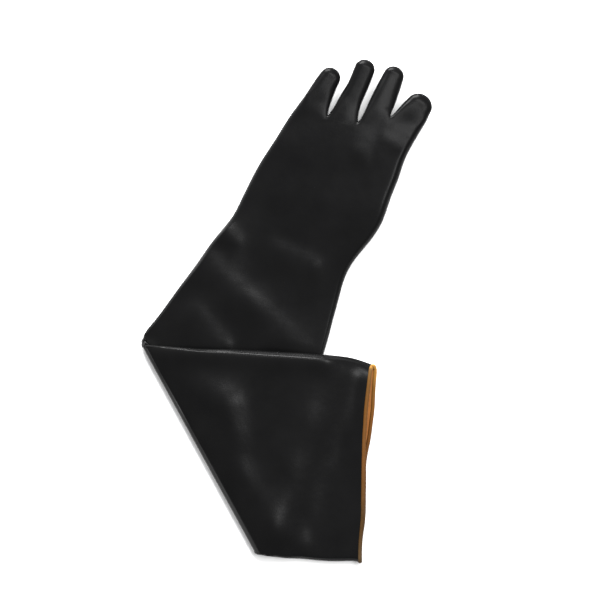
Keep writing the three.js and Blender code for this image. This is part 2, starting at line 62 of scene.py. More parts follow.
# Distance from the fold over which the returning sleeve climbs to its full height, and the
# distances beyond the edge of the layer below between which it comes down to the floor
CLIMB_LENGTH = 60
DESCENT = (1, 50)
# Rings of the sleeve between the fold and the start of the lining, and how exactly the row of a
# refined point is known
UNLINED_RINGS = 2
ROW_TOLERANCE = 0.01
# Share of a finger over which its rings turn square to it
FINGER_TURN = 0.6
# The hand's first section whose right edge bounds the layer below the returning sleeve
FIRST_LOWER_SECTION = 8
# How strongly a sharp corner's wall keeps its direction, and how far out its mitre may reach
MITRE_STEADINESS = 0.15
LONGEST_MITRE = 1.8

# How the skin is divided before it is refined
TOP_STEPS = 16
SIDE_STEPS = 4
COLUMNS_PER_FINGER = 4
FOLD_STEPS = 6
# Places of the points of a web between two fingers, from the top of the crotch to its bottom
WEB_PARTS = (0.25, 0.5, 0.75)
# Degrees at which the rings of a round tip lie
TIP_RINGS = (22.5, 45)
# Share of a curve over which its direction is measured
CURVE_STEP = 1e-4

# How the skin is refined
FINE_LEVELS = 2
FITTING_ROUNDS = 4
# Edges sharper than this many degrees stay sharp
SHARP_ANGLE = 60
BEAD_SIDES = 14
# How far the bead reaches over the edge of the wall that it closes
BEAD_OVERLAP = 0.5

# Sections of hand and forearm, from behind the knuckles to just before the fold.
# left and right: outline in plan. lift: how far the right part is held up by the thumb below it.
# thick: thickness near the left and right edge. pinch: how much thinner it is in the middle.
HAND_SECTIONS = [
    dict(left=(0.5, 200.7), right=(133.6, 179.2), lift=6.9, thick=(15, 16.8), pinch=0.04),
    dict(left=(-12.1, 180.3), right=(122.6, 158.4), lift=8.6, thick=(16, 17), pinch=0.07),
    dict(left=(-23.9, 162.5), right=(116.3, 139.6), lift=9.2, thick=(16, 17), pinch=0.1),
    dict(left=(-33.6, 145.9), right=(109.5, 122.6), lift=9.2, thick=(16, 17), pinch=0.12),
    dict(left=(-42.1, 129.2), right=(104.3, 107.9), lift=9.0, thick=(16, 17), pinch=0.13),
    dict(left=(-49.3, 114.5), right=(98.0, 91.2), lift=8.2, thick=(15, 16), pinch=0.14),
    dict(left=(-57.1, 99.6), right=(86.5, 73.4), lift=6.5, thick=(14, 15), pinch=0.15),
    dict(left=(-68.6, 84.9), right=(71.8, 55.5), lift=4.1, thick=(13.5, 14), pinch=0.16),
    dict(left=(-81.2, 69.2), right=(60.3, 35.6), lift=1.6, thick=(13, 13.5), pinch=0.18),
    dict(left=(-95.9, 48.2), right=(53.4, 11.5), lift=0, thick=(12, 13), pinch=0.2),
    dict(left=(-111.6, 27.2), right=(47.6, -9.4), lift=0, thick=(11, 12), pinch=0.2),
    dict(left=(-125.2, 8.4), right=(40.0, -37.7), lift=0, thick=(9.8, 10), pinch=0.18),
    dict(left=(-136.8, -7.3), right=(26.7, -77.6), lift=0, thick=(8.8, 9), pinch=0.14),
    dict(left=(-145.6, -17.8), right=(7.9, -135.2), lift=0, thick=(7.6, 8.2), pinch=0.1),
    dict(left=(-148.3, -21.9), right=(-11.0, -194.9), lift=0, thick=(6.9, 7.2), pinch=0.04),
]

# The line about which the sleeve turns over, and how its two ends shift during the turn
FOLD_ORIGIN = np.array([-128.1, -64.5])
FOLD_DIRECTION = np.array([0.48, -0.8773])
FOLD_INWARD = np.array([0.8773, 0.48])
FOLD_ENDS = [
    dict(turn=0, start=-45.7, end=203.8),
    dict(turn=0.5, start=-38.0, end=211.6),
    dict(turn=1, start=-33.2, end=217.2),
]

# Sections of the sleeve after the fold, up to the cuff. left is now the upper edge in plan.
SLEEVE_SECTIONS = [
    dict(left=(-116.9, -37.2), right=(-11.0, -257.0), thick=(8.4, 8.0), pinch=0.04),
    dict(left=(-88.6, -39.2), right=(-0.5, -258.4), thick=(10.0, 9.2), pinch=0.08),
    dict(left=(-55.0, -39.9), right=(13.1, -258.9), thick=(11.4, 10.4), pinch=0.1),
    dict(left=(-20.4, -41.7), right=(28.8, -260.4), thick=(12.6, 11.4), pinch=0.1),
    dict(left=(13.1, -43.5), right=(45.6, -261.5), thick=(13.6, 12.2), pinch=0.1),
    dict(left=(44.5, -45.8), right=(60.3, -261.4), thick=(14.4, 12.7), pinch=0.08),
    dict(left=(67.6, -48.9), right=(69.7, -261.4), thick=(15.0, 13.0), pinch=0.05),
    dict(left=(90.0, -55.6), right=(76.0, -262.2), thick=(15.6, 12.8), pinch=0.03),
]

# Edge of the mouth, from the lower corner up: X of the upper and of the lower wall at each Y
MOUTH_EDGE = [
    dict(y=-262, upper=73.4, lower=74.2),
    dict(y=-244, upper=73.8, lower=74.6),
    dict(y=-213, upper=76.4, lower=78.2),
    dict(y=-158, upper=77.2, lower=78.8),
    dict(y=-144, upper=77.6, lower=81.1),
    dict(y=-131, upper=77.9, lower=83.8),
    dict(y=-118, upper=78.8, lower=85.4),
    dict(y=-103, upper=79.6, lower=87.4),
    dict(y=-80, upper=82.2, lower=88.4),
    dict(y=-56, upper=85.4, lower=90.3),
]

# The knuckle line in plan: left edge, the three crotches between the fingers, right edge
KNUCKLE_LEFT = (12.1, 216.9)
KNUCKLE_RIGHT = (139.9, 189.7)
KNUCKLE_LIFT = 5.8
KNUCKLE_THICK = 15.5
CROTCHES = [(42.4, 204.4), (73.9, 197.6), (108.6, 203.4)]
# Step from a crotch back to the knuckle line behind it
CROTCH_SETBACK = (-1.6, -3.6)

# Fingers from the little finger to the index finger. Each row is a place on the centre line,
# with the half width, the thickness and the height of the underside there. The last row is
# where the round tip begins.
FINGERS = [
    [
        dict(x=27.2, y=211.2, half=15.6, thick=15.5, low=0.3),
        dict(x=35.1, y=227.4, half=13.1, thick=14.8, low=0.1),
        dict(x=41.2, y=238.7, half=11.7, thick=13.6, low=0),
        dict(x=44.6, y=244.0, half=11.0, thick=12.6, low=0.3),
    ],
    [
        dict(x=58.2, y=201.7, half=14.6, thick=15.5, low=2.8),
        dict(x=66.3, y=221.0, half=11.9, thick=14.8, low=1.1),
        dict(x=72.9, y=233.7, half=10.9, thick=14.2, low=0.4),
        dict(x=80.7, y=252.7, half=10.7, thick=12.6, low=0.3),
    ],
    [
        dict(x=91.4, y=201.2, half=16.0, thick=15.5, low=5.5),
        dict(x=97.7, y=214.8, half=13.5, thick=14.8, low=3.9),
        dict(x=105.9, y=233.7, half=12.0, thick=13.8, low=1.6),
        dict(x=110.9, y=245.4, half=10.9, thick=12.6, low=0.6),
    ],
    [
        dict(x=126.0, y=197.5, half=16.6, thick=15.4, low=5.7),
        dict(x=130.9, y=205.1, half=15.8, thick=15.0, low=5.5),
        dict(x=134.4, y=210.0, half=14.8, thick=14.6, low=5.4),
        dict(x=137.0, y=213.4, half=14.1, thick=14.2, low=5.3),
    ],
]
# Places of the rings along a finger, and how far each still has the flat top of the knuckles.
# The index finger shows so little of its length that two rings do.
LONG_STATIONS = [
    dict(along=0.16, boxy=0.45),
    dict(along=0.34, boxy=0.18),
    dict(along=0.54, boxy=0.05),
    dict(along=0.76, boxy=0),
    dict(along=1, boxy=0),
]
SHORT_STATIONS = [
    dict(along=0.4, boxy=0.3),
    dict(along=1, boxy=0.05),
]
FINGER_STATIONS = [LONG_STATIONS, LONG_STATIONS, LONG_STATIONS, SHORT_STATIONS]

# The thumb leaves the underside of the palm between these sections and columns of the skin.
# near is the edge touching the palm, far the edge lying on the floor. boxy: share by which the
# section still has the corners and the slant of the place it leaves.
THUMB_SECTION = 4
THUMB_COLUMN = 10
THUMB = [
    dict(near=(73.0, 128.0, 6.5), far=(42.0, 70.0, 2.2), half=16.0, boxy=0.5),
    dict(near=(76.4, 134.5, 7.0), far=(57.0, 90.0, 0), half=16.0, boxy=0.25),
    dict(near=(78.4, 141.5, 7.5), far=(69.0, 112.0, -0.4), half=15.0, boxy=0.1),
    dict(near=(77.4, 148.5, 7.8), far=(75.0, 132.5, -0.4), half=14.0, boxy=0),
    dict(near=(74.8, 156.0, 7.8), far=(74.4, 150.0, -0.4), half=12.8, boxy=0),
    dict(near=(72.0, 163.0, 7.8), far=(72.0, 163.0, -0.4), half=11.8, boxy=0),
]

# Soft ridges of the skin that faces up, and hollows where the rise is below zero.
# path: the crest in plan. spread: half width on the left and right of the path as it runs.
HAND_RIDGES = [
    dict(path=[(-77, 51), (-14, -16), (26, -44)], spread=(14, 14), rise=2.4),
    dict(path=[(-96, -4), (-66, -38)], spread=(11, 11), rise=1.6),
    dict(path=[(-70, 82), (-60, 77)], spread=(8, 8), rise=1.8),
    dict(path=[(-8, 61), (26, 49)], spread=(9, 9), rise=1.4),
    dict(path=[(66, 168), (80, 163)], spread=(5, 5), rise=0.8),
    dict(path=[(101, 179), (123, 167)], spread=(5, 5), rise=1.0),
]
SLEEVE_RIDGES = [
    dict(path=[(-115, -70), (-60, -92), (-54, -160), (8, -243)], spread=(17, 17), rise=2.4),
]

# Finer folds that only the refined skin has. foot: the line in plan from which the skin climbs
# steeply on its right. climb: how far it climbs. fade: how softly it falls away behind.
HAND_FOLDS = [
    dict(foot=[(-69, 64), (-56, 49), (-30, 27), (2, 0), (19, -18), (38, -33)], climb=24, fade=30, rise=2.3),
    dict(foot=[(-82, 10), (-66, -7), (-53, -28)], climb=22, fade=20, rise=2.4),
    dict(foot=[(-61, 101), (-44, 87)], climb=18, fade=14, rise=2.0),
    dict(foot=[(-4, 80), (17, 71), (28, 67)], climb=20, fade=20, rise=2.8),
]
SLEEVE_FOLDS = [
    dict(
        foot=[
            (-107, -53), (-87, -54), (-57, -59), (-39, -72), (-32, -93), (-32, -114), (-29, -146),
            (-22, -171), (-11, -186), (5, -206),
        ],
        climb=44, fade=22, rise=5.8),
    dict(foot=[(-150, -34), (-117, -36), (-55, -38.5), (13, -42), (42, -44)], climb=8, fade=12, rise=2.2),
]
# How quickly a fold dies out beyond its two ends
FOLD_END = 1.4

# Small creases and dents. path: the crest in plan, spread: half width on its left and right.
HAND_CREASES = [
    dict(path=[(-80, 71), (-62, 62)], spread=(4, 4), rise=-0.9),
    dict(path=[(67, 168), (82, 162)], spread=(3.5, 6), rise=0.5),
    dict(path=[(102, 180), (124, 167)], spread=(4, 7), rise=0.7),
    dict(path=[(-149, -34), (-143, -37)], spread=(6, 6), rise=1.6),
]
SLEEVE_CREASES = [
    dict(path=[(66, -42), (94, -57)], spread=(14, 12), rise=-4.6),
]

# Slow unevenness of the whole skin
WAVE_HEIGHT = 0.2
WAVE_LENGTH = 42.0

# Where folds and creases begin and where they are full: by how much the skin faces up, by Y on
# the hand, and by rows past the middle of the fold on the sleeve
FACING_UP = (0.2, 0.9)
HAND_RELIEF = (-46, -38)
SLEEVE_RELIEF = (2, 6)


def mix(a, b, share):
    return a + (b - a) * share


def smooth(value, low, high):
    """0 below low, 1 above high, and a soft step between them."""
    share = np.clip((value - low) / (high - low), 0, 1)
    return share * share * (3 - 2 * share)


def unit(vectors):
    """Vectors of length one; a zero vector stays zero."""
    length = np.linalg.norm(vectors, axis=-1, keepdims=True)
    return vectors / np.where(length > 0, length, 1)


def flat(point, z=0.0):
    """A point in plan as a point in space."""
    return np.array([point[0], point[1], z])


def ring_places():
    """Places of one ring of skin points round the flattened tube.

    across runs from the left to the right edge rounding, out goes beyond it into the rounding,
    back is 1 on the back of the hand and 0 on the palm side.
    """
    def arc(degrees):
        angle = math.radians(degrees)
        return (float(degrees > 0), math.sin(angle), 0.5 + 0.5 * math.cos(angle))

    def level(back):
        return [(i / (TOP_STEPS - 2), 0.0, back) for i in range(TOP_STEPS - 1)]

    return [
        arc(-30), *level(1.0), arc(30),
        arc(60), arc(90), arc(120),
        arc(150), *reversed(level(0.0)), arc(-150),
        arc(-120), arc(-90), arc(-60),
    ]


ACROSS, OUT, BACK = np.array(ring_places()).T
RING_SIZE = len(BACK)


def top_index(column):
    return column


def bottom_index(column):
    return TOP_STEPS + SIDE_STEPS + TOP_STEPS - column


def places_on_section(section, width):
    """Share of the width and thickness of the tube at each place of the ring."""
    left, right = section["thick"]
    edge = mix(left, right, ACROSS)
    along = left / 2 + ACROSS * (width - (left + right) / 2) + OUT * edge / 2
    return along / width, edge * (1 - section["pinch"] * np.sin(np.pi * ACROSS) ** 2)


def from_line(points, start, end):
    """Distance in plan of each point from a line, and the side of the line that it is on."""
    run = np.subtract(end, start)
    away = points[:, :2] - np.array(start)
    share = np.clip(away @ run / (run @ run), 0, 1)
    distance = np.linalg.norm(away - share[:, None] * run, axis=1)
    return distance, np.sign(run[0] * away[:, 1] - run[1] * away[:, 0])


def from_path(points, path):
    """Signed distance in plan from a path, left positive, and distance beyond its two ends."""
    lines = list(zip(path, path[1:]))
    measured = [from_line(points, start, end) for start, end in lines]
    distances = np.array([distance for distance, _ in measured])
    sides = np.array([side for _, side in measured])
    nearest = distances.argmin(axis=0)
    each = np.arange(len(points))
    before = (np.array(path[0]) - points[:, :2]) @ unit(np.subtract(path[1], path[0]))
    after = (points[:, :2] - path[-1]) @ unit(np.subtract(path[-1], path[-2]))
    beyond = np.where(nearest == 0, np.maximum(before, 0), 0)
    beyond = np.where(nearest == len(lines) - 1, np.maximum(after, beyond), beyond)
    across = np.sqrt(np.maximum(distances[nearest, each] ** 2 - beyond ** 2, 0))
    return across * sides[nearest, each], beyond


def relief(points, ridges):
    """Height that ridges and hollows add at each point."""
    total = np.zeros(len(points))
    for ridge in ridges:
        left, right = ridge["spread"]
        across, beyond = from_path(points, ridge["path"])
        total += ridge["rise"] * np.exp(
            -(across / np.where(across > 0, left, right)) ** 2 - (2 * beyond / (left + right)) ** 2)
    return total


def fold_relief(points, folds):
    """Height that folds with one steep side add at each point."""
    total = np.zeros(len(points))
    for fold in folds:
        across, beyond = from_path(points, fold["foot"])
        climbed = smooth(-across, 0, fold["climb"])
        behind = np.maximum(-across - fold["climb"], 0) / fold["fade"]
        ended = FOLD_END * beyond / fold["climb"]
        total += fold["rise"] * climbed * np.exp(-behind ** 2 - ended ** 2)
    return total


def fold_point(position):
    return FOLD_ORIGIN + FOLD_DIRECTION * np.reshape(position, (-1, 1))


def beyond_lower_layer(points):
    """Signed distance beyond the right edge of the layer that lies underneath."""
    edge = [section["right"] for section in HAND_SECTIONS[FIRST_LOWER_SECTION:]]
    edge.append(tuple(fold_point(FOLD_ENDS[0]["end"])[0]))
    across, beyond = from_path(points, edge)
    return np.copysign(np.hypot(across, beyond), across)


def support(points):
    """Height of what the returning sleeve rests on: the layer below, then down to the floor."""
    from_fold = (points[:, :2] - FOLD_ORIGIN) @ FOLD_INWARD
    at_fold = FOLD_THICKNESS + 2 * FOLD_INNER_RADIUS
    on_layer = mix(at_fold, LAYER_HEIGHT, smooth(from_fold, 0, CLIMB_LENGTH))
    return on_layer * (1 - smooth(beyond_lower_layer(points), *DESCENT))


def hand_ring(section, line_at=None):
    """A ring of the hand or forearm, lying on the floor or on the thumb."""
    left, right = np.array(section["left"]), np.array(section["right"])
    share, thickness = places_on_section(section, np.linalg.norm(right - left))
    ring = np.zeros((RING_SIZE, 3))
    ring[:, :2] = line_at(share) if line_at else mix(left, right, share[:, None])
    held = section["lift"] * smooth(share, 0, LIFTED_FROM)
    ring[:, 2] = held + BACK * (thickness + relief(ring, HAND_RIDGES))
    return ring


def fold_ring(turn):
    """A ring part of the way round the fold."""
    before, after = FOLD_ENDS[:2] if turn < 0.5 else FOLD_ENDS[1:]
    part = (turn - before["turn"]) / (after["turn"] - before["turn"])
    start = mix(before["start"], after["start"], part)
    end = mix(before["end"], after["end"], part)
    section = dict(thick=(FOLD_THICKNESS, FOLD_THICKNESS), pinch=0)
    share, _ = places_on_section(section, end - start)
    angle = math.pi * turn
    outward = np.append(-FOLD_INWARD * math.sin(angle), -math.cos(angle))
    radius = FOLD_INNER_RADIUS + (1 - BACK) * FOLD_THICKNESS
    ring = np.zeros((RING_SIZE, 3))
    ring[:, :2] = fold_point(mix(start, end, share))
    ring[:, 2] = FOLD_INNER_RADIUS + FOLD_THICKNESS
    return ring + radius[:, None] * outward


def sleeve_ring(section):
    """A ring of the sleeve on its way back; its palm side now faces up."""
    left, right = np.array(section["left"]), np.array(section["right"])
    share, thickness = places_on_section(section, np.linalg.norm(right - left))
    ring = np.zeros((RING_SIZE, 3))
    ring[:, :2] = mix(left, right, share[:, None])
    ring[:, 2] = support(ring) + (1 - BACK) * (thickness + relief(ring, SLEEVE_RIDGES))
    return ring


def mouth_ring(section):
    """The last ring, drawn out to the two edges of the mouth."""
    ring = sleeve_ring(section)
    places = [row["y"] for row in MOUTH_EDGE]
    upper = np.interp(ring[:, 1], places, [row["upper"] for row in MOUTH_EDGE])
    lower = np.interp(ring[:, 1], places, [row["lower"] for row in MOUTH_EDGE])
    ring[:, 0] = mix(upper, lower, BACK)
    ring[:, 2] += BEAD_LIFT
    return ring


def knuckle_ring():
    """The first ring runs through the crotches between the fingers."""
    section = dict(
        left=KNUCKLE_LEFT, right=KNUCKLE_RIGHT, lift=KNUCKLE_LIFT,
        thick=(KNUCKLE_THICK, KNUCKLE_THICK), pinch=0,
    )
    width = math.dist(KNUCKLE_LEFT, KNUCKLE_RIGHT)
    shares, _ = places_on_section(section, width)
    knots = [0, *(shares[COLUMNS_PER_FINGER * (i + 1)] for i in range(len(CROTCHES))), 1]
    line = np.array([KNUCKLE_LEFT, *np.add(CROTCHES, CROTCH_SETBACK), KNUCKLE_RIGHT])
    return hand_ring(section, lambda share: np.stack(
        [np.interp(share, knots, line[:, axis]) for axis in (0, 1)], axis=1))


class Skin:
    """Points and outward four-sided faces. rows: each point's ring, counted from the knuckles."""

    def __init__(self):
        self.points = []
        self.faces = []
        self.rows = []

    def add(self, points, row=0):
        first = len(self.points)
        self.points += [np.array([x, y, max(z, 0.0)]) for x, y, z in points]
        self.rows += [row] * len(points)
        return list(range(first, len(self.points)))

    def join(self, near, far):
        for i in range(len(near)):
            after = (i + 1) % len(near)
            self.faces.append([near[i], far[i], far[after], near[after]])


def curve_point(knots, share):
    """Point of a centripetal Catmull-Rom curve through the knots."""
    knots = np.array(knots, float)
    knots = np.vstack([2 * knots[0] - knots[1], knots, 2 * knots[-1] - knots[-2]])
    spans = len(knots) - 3
    span = min(int(share * spans), spans - 1)
    t = share * spans - span
    p0, p1, p2, p3 = knots[span:span + 4]
    d0, d1, d2 = (np.linalg.norm(b - a) ** 0.5 for a, b in ((p0, p1), (p1, p2), (p2, p3)))
    leave = ((p1 - p0) / d0 - (p2 - p0) / (d0 + d1) + (p2 - p1) / d1) * d1
    arrive = ((p2 - p1) / d1 - (p3 - p1) / (d1 + d2) + (p3 - p2) / d2) * d1
    square = -3 * p1 + 3 * p2 - 2 * leave - arrive
    cube = 2 * p1 - 2 * p2 + leave + arrive
    return p1 + leave * t + square * t ** 2 + cube * t ** 3


def oval_ring(centre, side, up, half, thick, boxy=0.0):
    """One ring of a finger or the thumb. boxy draws the oval out towards a rectangle."""
    def bulge(value):
        return math.copysign(abs(value) ** FINGER_SQUARENESS, value)

    ring = []
    for i in range(4 * COLUMNS_PER_FINGER):
        angle = math.radians(135 - 90 * i / COLUMNS_PER_FINGER)
        run = 2 * (i % COLUMNS_PER_FINGER) / COLUMNS_PER_FINGER - 1
        box = ((run, 1), (1, -run), (-run, -1), (-1, run))[i // COLUMNS_PER_FINGER]
        sideways = half * mix(bulge(math.cos(angle)), box[0], boxy)
        upwards = thick / 2 * mix(bulge(math.sin(angle)), box[1], boxy)
        ring.append(centre + side * sideways + up * upwards)
    return ring


def round_tip(skin, ring, centre, reach):
    """Closes a finger ring with a round tip of four by four faces."""
    steps = COLUMNS_PER_FINGER
    eighth = math.pi / 4

    def edge(row, column):
        if row == 0:
            return ring[column]
        if column == steps:
            return ring[steps + row]
        if row == steps:
            return ring[3 * steps - column]
        return ring[(4 * steps - row) % len(ring)]

    def inner_point(across, down, distance):
        rim = centre
        if distance > 0:
            row = round(steps * (down / distance + 1) / 2)
            column = round(steps * (across / distance + 1) / 2)
            rim = skin.points[edge(row, column)]
        shrink = math.sin(distance * eighth) / math.sin(eighth)
        lift = (math.cos(distance * eighth) - math.cos(eighth)) / (1 - math.cos(eighth))
        return mix(centre, rim, shrink) + reach * lift

    grid = np.zeros((steps + 1, steps + 1), int)
    for row in range(steps + 1):
        for column in range(steps + 1):
            across, down = 2 * column / steps - 1, 2 * row / steps - 1
            distance = max(abs(across), abs(down))
            if distance == 1:
                grid[row, column] = edge(row, column)
            else:
                grid[row, column] = skin.add([inner_point(across, down, distance)])[0]
    for row in range(steps):
        for column in range(steps):
            skin.faces.append([
                grid[row, column], grid[row, column + 1],
                grid[row + 1, column + 1], grid[row + 1, column],
            ])


def close_tube(skin, root, ovals):
    """Runs a tube on from a root ring through the given ovals and closes it with a round tip."""
    last = root
    for oval in ovals:
        ring = skin.add(oval_ring(**oval))
        skin.join(ring, last)
        last = ring
    end = ovals[-1]
    ahead = unit(np.cross(end["up"], end["side"]))
    tip_reach = TIP_ROUNDNESS * end["half"]
    for degrees in TIP_RINGS:
        angle = math.radians(degrees)
        ring = skin.add(oval_ring(
            end["centre"] + ahead * tip_reach * math.sin(angle), end["side"], end["up"],
            end["half"] * math.cos(angle), end["thick"] * math.cos(angle)))
        skin.join(ring, last)
        last = ring
    centre = end["centre"] + ahead * tip_reach * math.sqrt(0.5)
    round_tip(skin, last, centre, ahead * tip_reach * (1 - math.sqrt(0.5)))


def add_finger(skin, rows, stations, root, root_side):
    line = [(row["x"], row["y"], 0.0) for row in rows]
    sizes = [(row["half"], row["thick"], row["low"]) for row in rows]
    ovals = []
    for station in stations:
        along = station["along"]
        half, thick, low = curve_point(sizes, along)
        near, far = max(along - CURVE_STEP, 0), min(along + CURVE_STEP, 1)
        ahead = unit(curve_point(line, far) - curve_point(line, near))
        side = mix(root_side, np.cross(ahead, [0, 0, 1]), smooth(along, 0, FINGER_TURN))
        ovals.append(dict(
            centre=curve_point(line, along) + [0, 0, low + thick / 2], side=unit(side),
            up=np.array([0, 0, 1]), half=half, thick=thick, boxy=station["boxy"],
        ))
    close_tube(skin, root, ovals)


def add_thumb(skin, root):
    root_side = unit(skin.points[root[COLUMNS_PER_FINGER]] - skin.points[root[0]])
    middles = [(flat(row["near"]) + flat(row["far"])) / 2 for row in THUMB]
    ovals = []
    for i, row in enumerate(THUMB):
        ahead = unit(middles[min(i + 1, len(THUMB) - 1)] - middles[max(i - 1, 0)])
        near, far = np.array(row["near"]), np.array(row["far"])
        ovals.append(dict(
            centre=(near + far) / 2,
            side=unit(mix(np.cross(ahead, [0, 0, 1]), root_side, row["boxy"])),
            up=unit(near - far), half=row["half"], thick=math.dist(near, far), boxy=row["boxy"],
        ))
    close_tube(skin, root, ovals)


def build_skin():
    """The skin from the knuckles to the mouth, then the fingers and the thumb."""
    skin = Skin()
    shapes = [
        knuckle_ring(),
        *(hand_ring(section) for section in HAND_SECTIONS),
        *(fold_ring(i / FOLD_STEPS) for i in range(FOLD_STEPS + 1)),
        *(sleeve_ring(section) for section in SLEEVE_SECTIONS[:-1]),
        mouth_ring(SLEEVE_SECTIONS[-1]),
    ]
    rings = [skin.add(shape, row) for row, shape in enumerate(shapes)]

    def under_thumb(section, index):
        column = bottom_index(0) - index
        return (THUMB_SECTION <= section < THUMB_SECTION + COLUMNS_PER_FINGER
                and THUMB_COLUMN < column <= THUMB_COLUMN + COLUMNS_PER_FINGER)

    for section in range(len(rings) - 1):
        for i in range(RING_SIZE):
            if not under_thumb(section, i):
                after = (i + 1) % RING_SIZE
                here, ahead = rings[section], rings[section + 1]
                skin.faces.append([here[i], ahead[i], ahead[after], here[after]])

    knuckles = rings[0]
    webs = []
    for i, crotch in enumerate(CROTCHES):
        column = (i + 1) * COLUMNS_PER_FINGER
        top = skin.points[knuckles[top_index(column)]][2]
        bottom = skin.points[knuckles[bottom_index(column)]][2]
        webs.append(skin.add([flat(crotch, mix(top, bottom, part)) for part in WEB_PARTS]))
    corners = [flat(point) for point in (KNUCKLE_LEFT, *CROTCHES, KNUCKLE_RIGHT)]
    for finger, rows in enumerate(FINGERS):
        columns = range(finger * COLUMNS_PER_FINGER, (finger + 1) * COLUMNS_PER_FINGER + 1)
        right_side = webs[finger] if finger < len(webs) else knuckles[TOP_STEPS + 1:TOP_STEPS + SIDE_STEPS]
        left_side = webs[finger - 1][::-1] if finger > 0 else knuckles[1 - SIDE_STEPS:]
        top = [knuckles[top_index(column)] for column in columns]
        bottom = [knuckles[bottom_index(column)] for column in reversed(columns)]
        add_finger(skin, rows, FINGER_STATIONS[finger], [*top, *right_side, *bottom, *left_side],
                   unit(corners[finger + 1] - corners[finger]))

    def at(section, column):
        return rings[THUMB_SECTION + section][bottom_index(THUMB_COLUMN + column)]

    add_thumb(skin, [
        *(at(0, i) for i in (0, 1, 2, 3)), *(at(i, 4) for i in (0, 1, 2, 3)),
        *(at(4, i) for i in (4, 3, 2, 1)), *(at(i, 0) for i in (4, 3, 2, 1)),
    ])
    return np.array(skin.points), np.array(skin.faces), np.array(skin.rows, float)


def make_mesh(name, points, faces):
    mesh = bpy.data.meshes.new(name)
    mesh.from_pydata((points * MM).tolist(), [], faces.tolist())
    mesh.update()
    return mesh


def subdivided(points, faces, rows):
    """Points, faces and rows of the skin after subdivision. The given points come first."""
    mesh = make_mesh("skin", points, faces)
    mesh.attributes.new("row", "FLOAT", "POINT").data.foreach_set("value", rows)
    coarse = bpy.data.objects.new("skin", mesh)
    bpy.context.scene.collection.objects.link(coarse)
    modifier = coarse.modifiers.new("smooth", "SUBSURF")
    modifier.levels = FINE_LEVELS
    shaped = coarse.evaluated_get(bpy.context.evaluated_depsgraph_get())
    fine = shaped.to_mesh()
    fine_points = np.zeros(len(fine.vertices) * 3)
    fine.vertices.foreach_get("co", fine_points)
    fine_faces = np.zeros(len(fine.loops), int)
    fine.loops.foreach_get("vertex_index", fine_faces)
    fine_rows = np.zeros(len(fine.vertices))
    fine.attributes["row"].data.foreach_get("value", fine_rows)
    shaped.to_mesh_clear()
    bpy.data.objects.remove(coarse)
    bpy.data.meshes.remove(mesh)
    return fine_points.reshape(-1, 3) / MM, fine_faces.reshape(-1, 4), fine_rows


def refined(points, faces, rows):
    """A smooth skin that still passes through the given points."""
    control = points.copy()
    for _ in range(FITTING_ROUNDS):
        fine_points, _, _ = subdivided(control, faces, rows)
        control += points - fine_points[:len(points)]
    return subdivided(control, faces, rows)


def corner_normals(points, faces):
    """Normal and angle of each face at each of its corners."""
    here = points[faces]
    ahead = points[np.roll(faces, -1, axis=1)] - here
    behind = points[np.roll(faces, 1, axis=1)] - here
    normals = unit(np.cross(ahead, behind))
    cosines = np.sum(unit(ahead) * unit(behind), axis=2)
    return normals, np.arccos(np.clip(cosines, -1, 1))


def outward_steps(points, faces):
    """Step at each point that moves all the faces round it out by one millimetre, as a mitre does."""
    normals, angles = corner_normals(points, faces)
    sums = np.zeros((len(points), 3))
    planes = np.zeros((len(points), 3, 3))
    np.add.at(sums, faces, normals * angles[..., None])
    np.add.at(planes, faces, normals[..., :, None] * normals[..., None, :] * angles[..., None, None])
    planes += MITRE_STEADINESS * np.eye(3)
    steps = np.linalg.solve(planes, (sums + MITRE_STEADINESS * unit(sums))[..., None])[..., 0]
    length = np.linalg.norm(steps, axis=1, keepdims=True)
    return unit(steps) * np.clip(length, 1, LONGEST_MITRE)


def add_relief(points, faces, rows):
    """Lifts the upper side of the fine skin by its folds, creases and slow unevenness."""
    facing_up = smooth(unit(outward_steps(points, faces))[:, 2], *FACING_UP)
    fold_row = len(HAND_SECTIONS) + FOLD_STEPS / 2
    on_hand = facing_up * smooth(points[:, 1], *HAND_RELIEF) * (rows < fold_row)
    on_sleeve = facing_up * smooth(rows - fold_row, *SLEEVE_RELIEF)
    wave = WAVE_HEIGHT * np.array([noise.noise(Vector(point) / WAVE_LENGTH) for point in points])
    for mask, creases, folds in (
            (on_hand, HAND_CREASES, HAND_FOLDS), (on_sleeve, SLEEVE_CREASES, SLEEVE_FOLDS)):
        points[:, 2] += mask * (relief(points, creases) + fold_relief(points, folds) + wave)
    points[:, 2] = np.maximum(points[:, 2], 0)


def open_edges(faces):
    """The edges that only one face has, each as it runs along that face."""
    edges = {(a, b) for face in faces.tolist() for a, b in zip(face, face[1:] + face[:1])}
    return sorted((a, b) for a, b in edges if (b, a) not in edges)


def wall(points, faces, steps, outer_depth, inner_depth):
    """Closed wall between two depths below the skin. Each open edge of the faces gets a rim."""
    used, local = np.unique(faces, return_inverse=True)
    local = local.reshape(faces.shape)
    count = len(used)
    both = np.vstack([points[used] - steps[used] * depth for depth in (outer_depth, inner_depth)])
    both[:, 2] = np.maximum(both[:, 2], 0)
    rims = [[b, a, a + count, b + count] for a, b in open_edges(local)]
    return both, np.vstack([local, local[:, ::-1] + count, rims])


def mouth_loop(faces):
    """Indices of the skin's open edge, in order round the mouth."""
    after = dict(open_edges(faces))
    loop = [min(after)]
    while after[loop[-1]] != loop[0]:
        loop.append(after[loop[-1]])
    return loop


